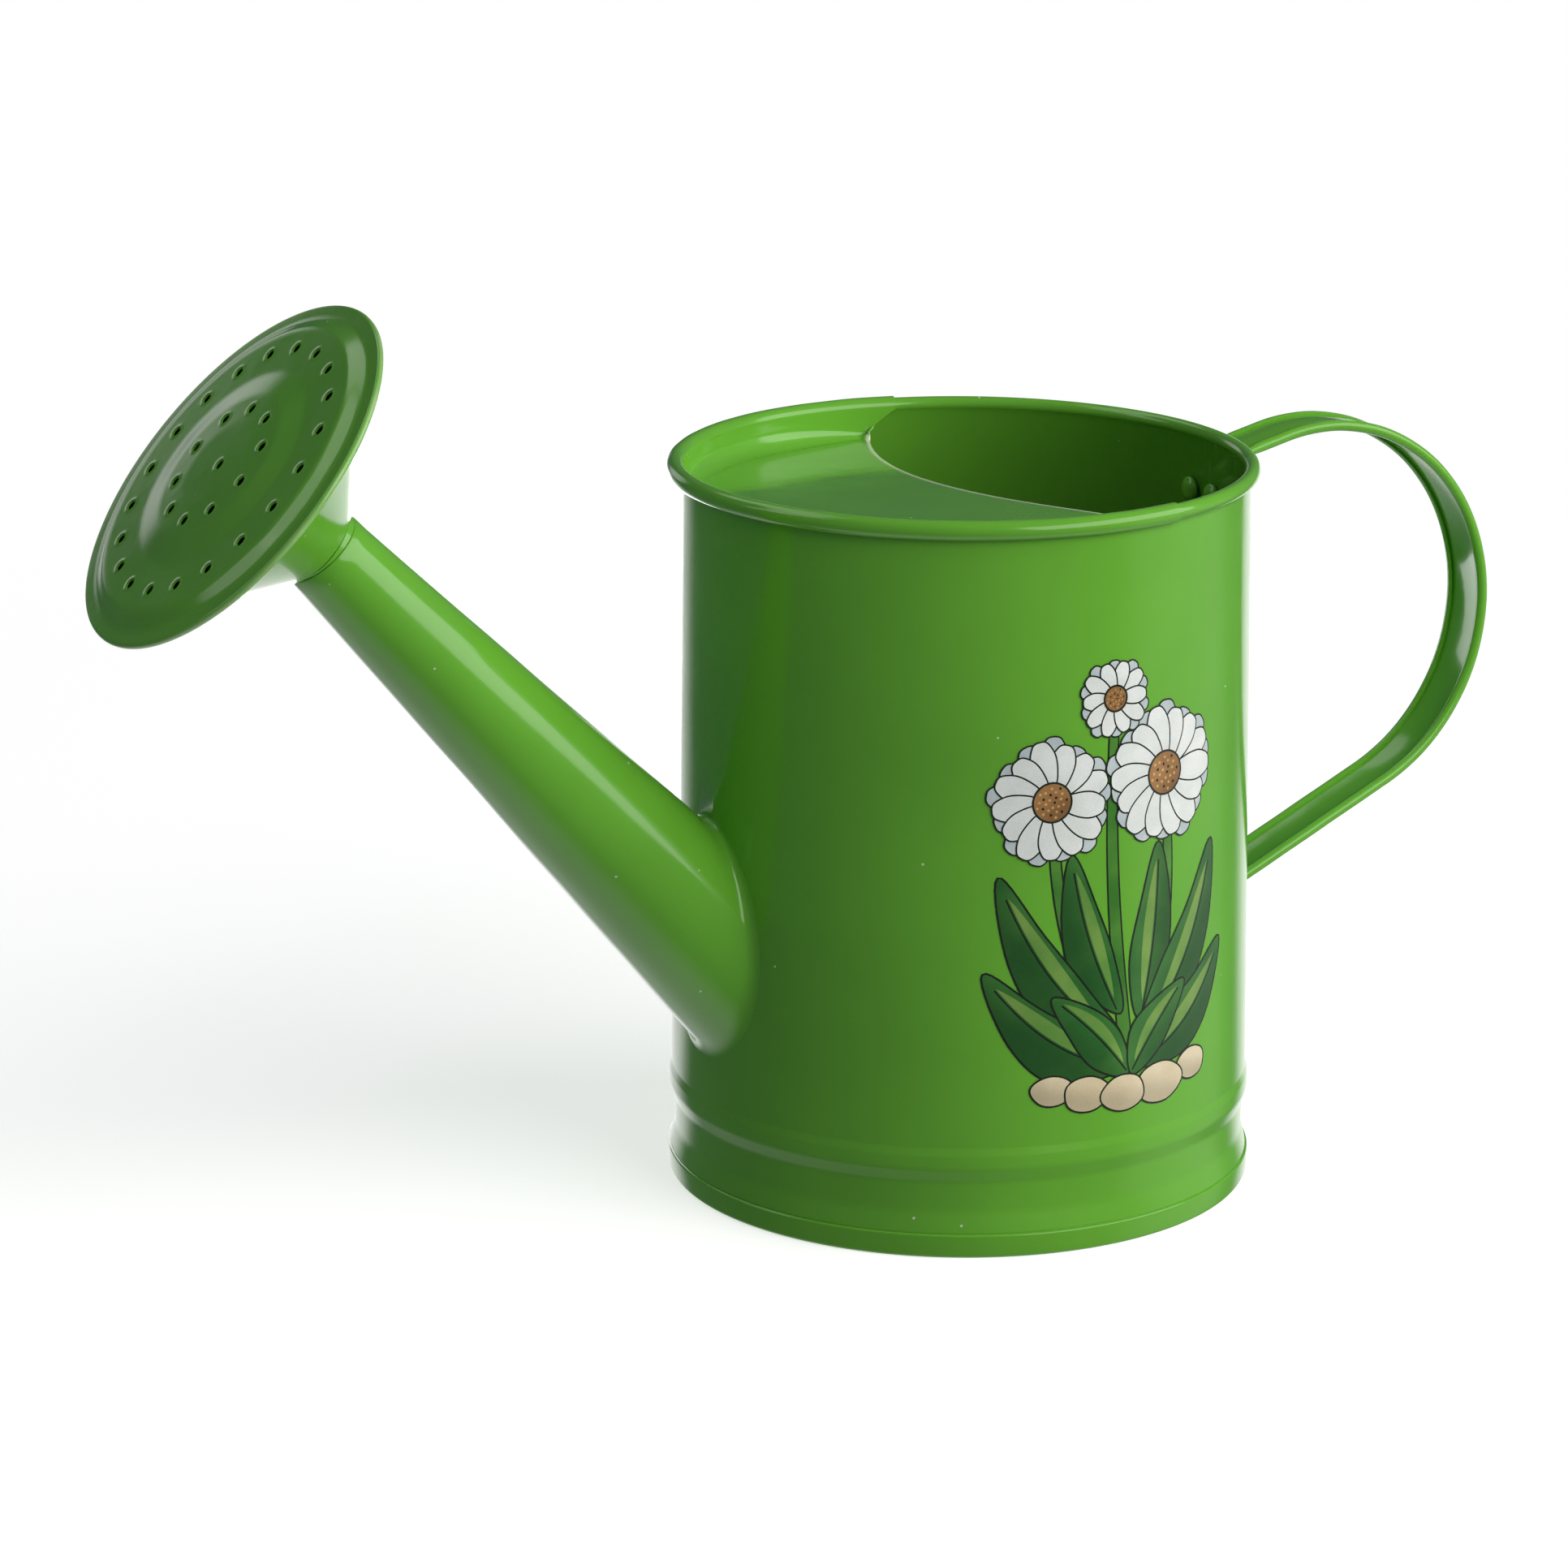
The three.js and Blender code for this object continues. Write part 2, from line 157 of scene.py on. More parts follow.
def rounded(corners, closed=True, bend=10):
    """Points along a line whose corners, given as (x, y, radius), are rounded by arcs."""
    points = []
    count = len(corners)
    for index, (x, y, radius) in enumerate(corners):
        here = Vector((x, y))
        if radius == 0 or (not closed and index in (0, count - 1)):
            points.append(here)
            continue
        before = Vector(corners[index - 1][:2]) - here
        after = Vector(corners[(index + 1) % count][:2]) - here
        half = before.angle(after) / 2
        reach = min(radius / math.tan(half), 0.48 * before.length, 0.48 * after.length)
        radius = reach * math.tan(half)
        before.normalize()
        after.normalize()
        centre = here + (before + after).normalized() * (radius / math.sin(half))
        first = here + before * reach - centre
        last = here + after * reach - centre
        turn = first.angle_signed(last)
        steps = max(2, math.ceil(abs(turn) / math.radians(bend)))
        for step in range(steps + 1):
            arm = first.copy()
            arm.rotate(Matrix.Rotation(-turn * step / steps, 2))
            points.append(centre + arm)
    return [(point.x, point.y) for point in points]


def arc(x, y, radius, start, end, steps):
    angles = [math.radians(start + (end - start) * step / steps) for step in range(steps + 1)]
    return [(x + radius * math.cos(angle), y + radius * math.sin(angle)) for angle in angles]


def even_angles(count):
    return [2 * math.pi * index / count for index in range(count)]


def on_circle(radius, angle, height):
    return Vector((radius * math.cos(angle), radius * math.sin(angle), height))


def unit(angle):
    return Vector((math.cos(angle), math.sin(angle)))


def clamp(value):
    return min(max(value, 0), 1)


def smoothstep(share):
    return share * share * (3 - 2 * share)


def turned(section, angles, matrix, closed=True):
    """Vertices and faces of a section turned about a local Z axis, placed by a matrix."""
    vertices = [matrix @ on_circle(radius, angle, height) for radius, height in section for angle in angles]
    return vertices, grid_faces(len(section), len(angles), closed, True)


def frame_matrix(origin, z_axis):
    """Places a local frame with its Y along the row's Y and its Z along an axis in the X-Z plane."""
    y_axis = Vector((0, 1, 0))
    x_axis = y_axis.cross(z_axis)
    matrix = Matrix((x_axis, y_axis, z_axis)).transposed().to_4x4()
    matrix.translation = origin
    return matrix


BODY = Matrix.Translation((AXIS_X, 0, 0))
ROSE = frame_matrix(MOUTH, ROSE_AXIS)
SPOUT_AXIS = Vector((-math.cos(SPOUT_ELEVATION), 0, math.sin(SPOUT_ELEVATION)))
SPOUT = frame_matrix(SPOUT_ROOT, SPOUT_AXIS)


def wobble(x, y, z, size, seed):
    """Smooth noise between about -1 and 1."""
    return noise.noise(Vector((x / size + seed, y / size - seed, z / size)))


def apply_modifiers(piece):
    graph = bpy.context.evaluated_depsgraph_get()
    mesh = bpy.data.meshes.new_from_object(piece.evaluated_get(graph))
    piece.modifiers.clear()
    piece.data = mesh


def subtract(piece, vertices, faces):
    """Cuts a closed shape out of a piece and applies the cut."""
    cutter = make_object("cutter", vertices, faces, [])
    modifier = piece.modifiers.new("cut", "BOOLEAN")
    modifier.object = cutter
    modifier.operation = "DIFFERENCE"
    modifier.solver = "EXACT"
    apply_modifiers(piece)
    bpy.data.objects.remove(cutter)


def place(piece, body, slot, *nodes):
    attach(piece, body)
    if nodes:
        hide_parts(*nodes)
    return piece


# ---- materials ------------------------------------------------------------------------------

class Tree:
    """Short names for building a node tree. A value can be a number, a colour or a node's output."""

    def __init__(self, tree):
        self.tree = tree

    def add(self, kind, **values):
        item = self.tree.nodes.new(kind)
        for key, value in values.items():
            if key in item.inputs:
                item.inputs[key].default_value = value
            else:
                setattr(item, key, value)
        return item

    def feed(self, value, socket):
        if hasattr(value, "is_output"):
            self.tree.links.new(value, socket)
        else:
            socket.default_value = value

    def ramp(self, source, stops):
        item = self.add("ShaderNodeValToRGB")
        elements = item.color_ramp.elements
        while len(elements) < len(stops):
            elements.new(0.5)
        for element, (position, colour) in zip(elements, stops):
            element.position = position
            element.color = (*colour, 1)
        self.feed(source, item.inputs["Fac"])
        return item.outputs["Color"]

    def noise(self, coordinates, scale, detail=2.0, roughness=0.5):
        item = self.add("ShaderNodeTexNoise", Scale=scale, Detail=detail, Roughness=roughness)
        self.feed(coordinates, item.inputs["Vector"])
        return item.outputs["Fac"]

    def calculate(self, operation, first, second):
        item = self.add("ShaderNodeMath", operation=operation)
        self.feed(first, item.inputs[0])
        self.feed(second, item.inputs[1])
        return item.outputs[0]

    def remap(self, value, start, end, low=0.0, high=1.0, kind="LINEAR"):
        item = self.add("ShaderNodeMapRange", interpolation_type=kind)
        for name, number in zip(("From Min", "From Max", "To Min", "To Max"), (start, end, low, high)):
            item.inputs[name].default_value = number
        self.feed(value, item.inputs["Value"])
        return item.outputs[0]

    def mix(self, share, first, second, blend="MIX", clamped=True):
        item = self.add("ShaderNodeMix", data_type="RGBA", blend_type=blend, clamp_factor=clamped)
        for number, value in ((0, share), (6, first), (7, second)):
            self.feed(value, item.inputs[number])
        return item.outputs[2]

    def mix_shaders(self, share, first, second):
        item = self.add("ShaderNodeMixShader")
        for socket, value in zip(item.inputs, (share, first, second)):
            self.feed(value, socket)
        return item.outputs[0]


class Nodes(Tree):
    """The node tree of a new material."""

    def __init__(self, name):
        self.material = bpy.data.materials.new(name)
        self.material.use_nodes = True
        super().__init__(self.material.node_tree)
        self.shader = self.tree.nodes["Principled BSDF"]
        self.surface = self.tree.nodes["Material Output"].inputs["Surface"]

    def set(self, **values):
        """Feeds inputs of the main shader, named with _ for each space."""
        for key, value in values.items():
            self.feed(value, self.shader.inputs[key.replace("_", " ")])

    def where(self):
        return self.add("ShaderNodeTexCoord").outputs["Object"]

    def attribute(self, name):
        return self.add("ShaderNodeAttribute", attribute_name=name).outputs["Fac"]

    def bump(self, heights):
        """Chains bump nodes, each from (height, strength, distance)."""
        normal = None
        for height, strength, distance in heights:
            item = self.add("ShaderNodeBump", Strength=strength, Distance=distance)
            self.feed(height, item.inputs["Height"])
            if normal is not None:
                self.feed(normal, item.inputs["Normal"])
            normal = item.outputs["Normal"]
        self.set(Normal=normal)


def specks(nodes, coordinates, scale, size):
    """A mask of small scattered dust grains, in a little over a quarter of its cells."""
    cells = nodes.add("ShaderNodeTexVoronoi", Scale=scale, Randomness=1.0)
    nodes.feed(coordinates, cells.inputs["Vector"])
    near = nodes.calculate("LESS_THAN", cells.outputs["Distance"], size)
    split = nodes.add("ShaderNodeSeparateColor")
    nodes.feed(cells.outputs["Color"], split.inputs["Color"])
    rare = nodes.calculate("GREATER_THAN", split.outputs["Red"], 0.72)
    return nodes.calculate("MULTIPLY", near, rare)


def enamel(name, tint=(0.142, 0.440, 0.036), gloss=0.13):
    """Glossy green enamel: slight tone drift, orange peel, a little dust, and a pale tone on marked edges:
    thin paint on the brim, a painted highlight on the cover's free edge.
    """
    nodes = Nodes(name)
    where = nodes.where()
    stops = ((0.3, [c * 0.93 for c in tint]), (0.7, [c * 1.06 for c in tint]))
    drift = nodes.ramp(nodes.noise(where, 24, 3), stops)
    # The edge attribute mixes in a pale colour: thin paint on the rose's brim, and a painted highlight along
    # the cover's free edge.
    edge_paint_and_highlight = nodes.mix(nodes.attribute("edge"), drift, (0.82, 0.90, 0.66, 1))
    dust = specks(nodes, where, 150, 0.045)
    rough = nodes.remap(nodes.noise(where, 70, 4, 0.6), 0.3, 0.75, gloss - 0.03, gloss + 0.06)
    nodes.set(Base_Color=nodes.mix(dust, edge_paint_and_highlight, (0.62, 0.72, 0.50, 1)), Roughness=rough, IOR=1.5,
              Coat_Weight=0.25, Coat_Roughness=0.04)
    nodes.bump((
        (nodes.noise(where, 55, 2), 0.10, 0.0008),
        (nodes.noise(where, 420, 2), 0.05, 0.0003),
        (dust, 0.4, 0.0001),
    ))
    return nodes.material


def printed_ink(name, low, high, size=180):
    """Printed film: one ink drifting between two tones, with a fine halftone grain."""
    nodes = Nodes(name)
    where = nodes.where()
    tone = nodes.ramp(nodes.noise(where, size, 2), ((0.35, low), (0.65, high)))
    shaded = nodes.mix(nodes.attribute("shade"), tone, tuple(c * 0.45 for c in low) + (1,))
    fine = nodes.ramp(nodes.noise(where, 2600, 1), ((0.35, (0.94,) * 3), (0.65, (1.0,) * 3)))
    nodes.set(Base_Color=nodes.mix(1.0, shaded, fine, "MULTIPLY"), Roughness=0.16, Coat_Weight=0.3,
              Coat_Roughness=0.05)
    nodes.bump(((nodes.noise(where, 300, 2), 0.03, 0.0003),))
    return nodes.material


GREEN = enamel("green_enamel")


# ---- body wall ------------------------------------------------------------------------------

def wall_radius(height):
    """Outside radius of the plain wall above the rib."""
    taper = (WALL_FOOT_RADIUS - WALL_TOP_RADIUS) / (WALL_TOP - RIB_HIGH)
    return WALL_TOP_RADIUS + taper * (WALL_TOP - height)


def wall_outline():
    """The wall's outside line from its foot to the rolled edge, as corners with bend radii."""
    crown = WALL_FOOT_RADIUS + 0.6
    return [
        (WALL_FOOT_RADIUS, 0.8, 0),
        (WALL_FOOT_RADIUS, SEAM_HEIGHT - 1, 0.5),
        (SEAM_RADIUS - 0.45, SEAM_HEIGHT + 0.1, 1),
        (WAIST_RADIUS + 0.1, SEAM_HEIGHT + 4.5, 7),
        (WAIST_RADIUS + 0.2, RIB_LOW - 0.8, 4),
        (crown - 0.05, RIB_LOW + 2.6, 4),
        (crown - 0.15, RIB_HIGH - 1.8, 2.5),
        (WALL_FOOT_RADIUS, RIB_HIGH, 1.6),
        (wall_radius(60), 60, 0),
        (wall_radius(100), 100, 0),
        (WALL_TOP_RADIUS, WALL_TOP + 0.2, 0),
    ]


SEAM_ANGLE = math.radians(-1.5)
SEAM_HALF = 1.9
SEAM_STEP = 0.42


def from_seam(angle):
    """An angle round the body as measured from the lap seam, between -pi and pi."""
    return (angle - SEAM_ANGLE + math.pi) % (2 * math.pi) - math.pi


def seam_lift(angle):
    """How far the wall's lap seam stands out at an angle round the body."""
    across = from_seam(angle) * WALL_TOP_RADIUS
    return SEAM_STEP * clamp((across + SEAM_HALF) / 0.35) * clamp((SEAM_HALF - across) / 0.9)


def rim_drop(point):
    """The rolled edge is not quite level: how far a place on the body hangs below its drawn height."""
    towards_front = (0.47 * (AXIS_X - point.x) - 0.88 * point.y) / RIM_CENTRE_RADIUS
    return (0.8 + 0.65 * towards_front) * smoothstep(clamp((point.z - 128) / 26))


def wall_dent(radius, angle, height):
    """How far the wall stands out of true."""
    return 0.10 * wobble(radius * math.cos(angle), radius * math.sin(angle), height, 38, 3.1)


def wall_angles():
    """Even angles round the body, with closer ones across the lap seam."""
    near_seam = [SEAM_ANGLE + across / WALL_TOP_RADIUS for across in
                 (-2.6, -2.1, -1.9, -1.72, -1.55, -1.3, 0, 0.9, 1.2, 1.5, 1.8, 2.1, 2.6)]
    even = [angle for angle in even_angles(256) if abs(from_seam(angle)) > 2.9 / WALL_TOP_RADIUS]
    return sorted(even + [angle % (2 * math.pi) for angle in near_seam])


def body_wall():
    outline = rounded(wall_outline(), closed=False)
    inside = [(radius - SHEET, height) for radius, height in reversed(outline)]
    start = -math.degrees(math.acos((WALL_TOP_RADIUS - RIM_CENTRE_RADIUS) / RIM_BEAD)) + 8
    edge = arc(RIM_CENTRE_RADIUS, RIM_CENTRE_Z, RIM_BEAD, start, 205, 22)
    section = outline + edge + inside
    angles = wall_angles()
    vertices = []
    for radius, height in section:
        for angle in angles:
            lift = seam_lift(angle) if SEAM_HEIGHT < height < WALL_TOP - 1 else 0
            dent = wall_dent(radius, angle, height) if height > SEAM_HEIGHT + 2 else 0
            point = BODY @ on_circle(radius + lift + dent, angle, height)
            point.z -= rim_drop(point)
            vertices.append(point)
    faces = grid_faces(len(section), len(angles), True, True)
    wall = make_object("can_wall", vertices, faces, [GREEN], 50)
    subtract(wall, *spout_bore())
    tidy_mesh(wall.data)
    smooth(wall.data, 50)
    return place(wall, "can", "green_enamel", "body_wall")


def bottom_pan():
    skirt = SEAM_RADIUS - 0.7
    leg = WALL_FOOT_RADIUS - SHEET - 0.25
    section = rounded([
        (0.01, 4.4, 0), (20, 4.4, 1), (21.5, 3.9, 1), (46, 3.9, 1), (47.5, 4.4, 1), (leg - 2.2, 4.4, 1.2),
        (leg - 1.1, 0, 0.5), (SEAM_RADIUS - 0.15, 0, 0.9), (SEAM_RADIUS, SEAM_HEIGHT - 0.2, 0.45),
        (skirt, SEAM_HEIGHT, 0.2), (skirt, 0.7, 0.2), (leg, 0.7, 0.2), (leg, 5, 0.5), (47, 5, 1),
        (46, 4.5, 1), (21.5, 4.5, 1), (20.5, 5, 1), (0.01, 5, 0),
    ])
    vertices, faces = turned(section, even_angles(192), BODY)
    pan = make_object("base_pan", vertices, faces, [GREEN], 40, merge=0.05)
    return place(pan, "can", "green_enamel", "bottom_pan")


# ---- half cover -----------------------------------------------------------------------------

def cover_height(y):
    return COVER_Z - COVER_TILT * y


def cover_edge(share):
    """The free edge in plan, from -1 on the -Y side to 1 on the +Y side."""
    y = EDGE_HALF * share
    return (0.0046 if y > 0 else 0.0041) * y * y - 7.1, y


HEM_POINTS = 30
PLATE_STEPS = 24
LIP_RADIUS = 0.45


def cover_section(angle, out):
    """Hem, upstand and fillet as (radius, height), and the height where the fillet starts."""
    level = cover_height(UPSTAND * out.y)
    fillet = min(4.2, max(RIM_CENTRE_Z + 0.3 - level, 0.8))
    fillet *= 1 - 0.7 * clamp((abs(angle) - 1.25) / (EDGE_END - 1.25)) ** 2
    hem = HEM_BEAD + 0.07 * wobble(out.x * 60, out.y * 60, 0, 9, 7.7)
    low = level + fillet
    line = arc(RIM_CENTRE_RADIUS, RIM_CENTRE_Z, hem, -78, 180, HEM_POINTS - 1)
    line += [(UPSTAND, RIM_CENTRE_Z + (low - RIM_CENTRE_Z) * step / 4) for step in range(1, 5)]
    line += arc(UPSTAND - fillet, low, fillet, -9, -90, 9)
    return line, low


def plate_points(angle, start):
    """The plate from the fillet's end to its free edge, with the edge's rounded lip."""
    edge_x, edge_y = cover_edge(max(-1, min(1, angle / EDGE_END)))
    end = Vector((edge_x, edge_y, cover_height(edge_y)))
    slope = end - start
    if slope.length > 1e-6:
        slope.normalize()
    points = []
    for step in range(1, PLATE_STEPS + 1):
        share = 1 - (1 - step / PLATE_STEPS) ** 2
        flat = start.lerp(end, share)
        flat.z = cover_height(flat.y) - 0.25 * math.sin(math.pi * share) ** 2 * math.cos(angle)
        points.append(flat)
    for turn in range(30, 181, 30):
        a = math.radians(turn)
        ahead = Vector((slope.x, slope.y, 0)) * LIP_RADIUS * math.sin(a)
        points.append(end + ahead + Vector((0, 0, LIP_RADIUS * (math.cos(a) - 1))))
    return points


def cover_column(angle):
    """The cover's line at an angle from -X. Past the ends of the free edge it shrinks to the hem."""
    out = Vector((-math.cos(angle), math.sin(angle)))
    line, low = cover_section(angle, out)
    points = [Vector((out.x * radius, out.y * radius, height)) for radius, height in line]
    points += plate_points(angle, points[-1])
    past = clamp((abs(angle) - EDGE_END) / (HEM_END - EDGE_END))
    if past > 0:
        lowest = RIM_CENTRE_Z - 0.6 if past == 1 else RIM_CENTRE_Z + (low - RIM_CENTRE_Z) * (1 - past) - 0.3
        reach = Vector((out.x * UPSTAND, out.y * UPSTAND))
        for point in points[HEM_POINTS:]:
            point.x += (reach.x - point.x) * min(1, past * 3)
            point.y += (reach.y - point.y) * min(1, past * 3)
            point.z = max(point.z, lowest)
    return points


def half_cover():
    """One sheet: a hem round the rim, a short upstand, a fillet, then the tilted plate to its free edge."""
    columns = 241
    grid = [cover_column(-HEM_END + 2 * HEM_END * column / (columns - 1)) for column in range(columns)]
    vertices = [BODY @ point for points in grid for point in points]
    for point in vertices:
        near_hem = min(1, math.hypot(point.x - AXIS_X, point.y) / UPSTAND) ** 8
        point.z -= rim_drop(point) * (0.4 + 0.6 * near_hem)
    faces = grid_faces(columns, len(grid[0]))
    cover = make_object("half_cover_sheet", vertices, faces, [GREEN], 60, merge=0.01)
    # Painted highlight: a pale line along the cover's free edge, carried by the edge attribute.
    mark_edge(cover, lambda point: lip_highlight(point - Vector((AXIS_X, 0, 0))))
    thick = cover.modifiers.new("sheet", "SOLIDIFY")
    thick.thickness = COVER_SHEET * MM
    thick.offset = -1
    apply_modifiers(cover)
    smooth(cover.data, 60)
    return place(cover, "can", "green_enamel", "half_cover")


def lip_highlight(point):
    """Painted highlight: the rounded free edge of the cover is painted pale, standing in for the bright
    reflection on its lip.
    """
    if point.z > cover_height(point.y) + 1 or abs(point.y) > 59:
        return 0.0
    behind = cover_edge(point.y / EDGE_HALF)[0] - point.x
    return max(0.0, min(1.0, 1.8 - abs(behind) / 0.5))


# ---- spout ----------------------------------------------------------------------------------

def spout_radius(along):
    return SPOUT_ROOT_RADIUS - SPOUT_TAPER * along


def spout_bore():
    section = [(0.01, -25), (spout_radius(-25) - SHEET, -25), (spout_radius(60) - SHEET, 60), (0.01, 60)]
    return turned(section, even_angles(96), SPOUT)


def wall_hit(angle):
    """How far along the spout's axis a line of the cone, at an angle round it, meets the wall."""
    low, high = -20.0, 40.0
    for _ in range(40):
        middle = (low + high) / 2
        point = spout_point(angle, middle)
        if math.hypot(point.x - AXIS_X, point.y) > wall_radius(point.z) + 0.02:
            high = middle
        else:
            low = middle
    return (low + high) / 2


def spout_point(angle, along, grow=0.0):
    return SPOUT @ on_circle(spout_radius(along) + grow, angle, along)


def onto_wall(point, lift):
    """The nearest place on the wall to a point, at a small height above it."""
    arm = Vector((point.x - AXIS_X, point.y))
    arm = arm.normalized() * (wall_radius(point.z) + lift)
    return Vector((AXIS_X + arm.x, arm.y, point.z))


def spout_line(angle):
    """The tube's line at an angle round it: fillet and outside, then the lip, then the inside."""
    fillet = 3.2
    hit = wall_hit(angle)
    meet = spout_point(angle, hit)
    away = (meet - SPOUT @ Vector((0, 0, hit))).normalized()
    foot = onto_wall(meet + away * fillet, -0.05)
    shoulder = spout_point(angle, hit + fillet)
    line = []
    for step in range(13):
        share = step / 12
        line.append(foot.lerp(meet, share).lerp(meet.lerp(shoulder, share), share))
    seam = 0.18 * math.exp(-((angle - 1.95) / 0.03) ** 2)
    for step in range(1, 41):
        along = hit + fillet + (SPOUT_LENGTH - 0.25 - hit - fillet) * step / 40
        dent = 0.09 * wobble(math.cos(angle) * 14, math.sin(angle) * 14, along, 17, 1.3)
        line.append(spout_point(angle, along, (dent + seam) * math.sin(math.pi * step / 41) ** 0.5))
    line += [spout_point(angle, SPOUT_LENGTH - 0.05, -0.08), spout_point(angle, SPOUT_LENGTH, -SHEET / 2),
             spout_point(angle, SPOUT_LENGTH - 0.1, -SHEET)]
    line += [spout_point(angle, SPOUT_LENGTH - 0.1 + (hit - 0.8 - SPOUT_LENGTH) * step / 12, -SHEET)
             for step in range(1, 13)]
    return line


def spout_tube():
    """A tapered tube that flares into the wall in one small fillet."""
    lines = [spout_line(angle) for angle in even_angles(160)]
    count = len(lines[0])
    vertices = [line[row] for row in range(count) for line in lines]
    tube = make_object("spout_cone", vertices, grid_faces(count, len(lines), True, True), [GREEN], 50)
    return place(tube, "can", "green_enamel", "spout_tube")


# ---- rose -----------------------------------------------------------------------------------

FUNNEL_SLOPE = 1.09
FUNNEL_START = 9.0


def funnel_radius(along):
    return FUNNEL_START + FUNNEL_SLOPE * along


def rose_neck():
    section = rounded([
        (7.0, -12, 0.1), (7.6, 0.9, 2), (11.4, 3.6, 0), (10.9, 3.9, 0), (7.15, 1.3, 2), (6.55, -12, 0.1),
    ])
    angles = even_angles(96)
    vertices, faces = turned(section, angles, ROSE)
    spout_end = SPOUT @ Vector((0, 0, SPOUT_LENGTH))
    collar = []
    for radius, top in ((7.7, False), (8.9, False), (8.9, True), (7.7, True)):
        for angle in angles:
            flat = ROSE @ on_circle(radius, angle, 0)
            low = (0.08 - (flat - spout_end).dot(SPOUT_AXIS)) / ROSE_AXIS.dot(SPOUT_AXIS)
            collar.append(flat + ROSE_AXIS * (0.42 if top else min(low, 0.38)))
    collar_faces = grid_faces(4, len(angles), True, True)
    faces += [tuple(index + len(vertices) for index in face) for face in collar_faces]
    sleeve = make_object("neck_sleeve", vertices + collar, faces, [GREEN])
    return place(sleeve, "rose_neck", "green_enamel", "rose_neck")


def rose_funnel():
    wide = funnel_radius(22)
    section = rounded([
        (FUNNEL_START - 0.35, 0.45, 0.15), (funnel_radius(1.4), 1.4, 2.5), (wide, 22, 3.5),
        (wide + 3.2, 24.75, 2.5), (ROSE_RADIUS - 1, 24.8, 0.1), (ROSE_RADIUS - 1, 25.2, 0.1),
        (wide + 2.8, 25.2, 2.5), (wide - 0.5, 22.6, 3), (funnel_radius(1.8) - 0.9, 1.8, 2),
        (FUNNEL_START - 0.8, 0.55, 0.1),
    ])
    vertices, faces = turned(section, even_angles(160), ROSE)
    funnel = make_object("rose_cone", vertices, faces, [GREEN])
    return place(funnel, "rose_head", "green_enamel", "rose_funnel")


FACE_LINE = [
    (0, 4.3, 0), (10, 4.25, 20), (17.4, 3.95, 4), (23.6, 2.7, 4), (34.9, 2.5, 1), (38.4, 0.9, 1),
    (39.6, 0.85, 0),
]
FACE_EDGE = 39.6
FACE_SHEET = 0.3


def face_height(radius):
    """Height of the face above the brim's plane, along the rose's axis."""
    return float(np.interp(radius, FACE_RADII, FACE_HEIGHTS))


face_points = rounded(FACE_LINE, closed=False, bend=3)
FACE_RADII = [point[0] for point in face_points]
FACE_HEIGHTS = [point[1] for point in face_points]


def hole_centres():
    centres = []
    for radius, count in HOLE_RINGS:
        for index in range(count):
            angle = HOLE_PHASE + 2 * math.pi * index / count
            reach = radius + 0.25 * wobble(radius, index * 3.7, 0, 1.3, 5.5)
            centres.append(on_circle(reach, angle, 0).xy)
    centres[0] = Vector((0, -1.1))
    return centres


def triangulate(points, keep):
    """Delaunay triangles of points in a plane, those whose middle is kept."""
    result = geometry.delaunay_2d_cdt(points, [], [], 0, 1e-6)
    vertices, faces = result[0], result[2]

    def middle(face):
        return sum((vertices[index] for index in face), Vector((0, 0))) / len(face)

    return vertices, [face for face in faces if keep(middle(face))]


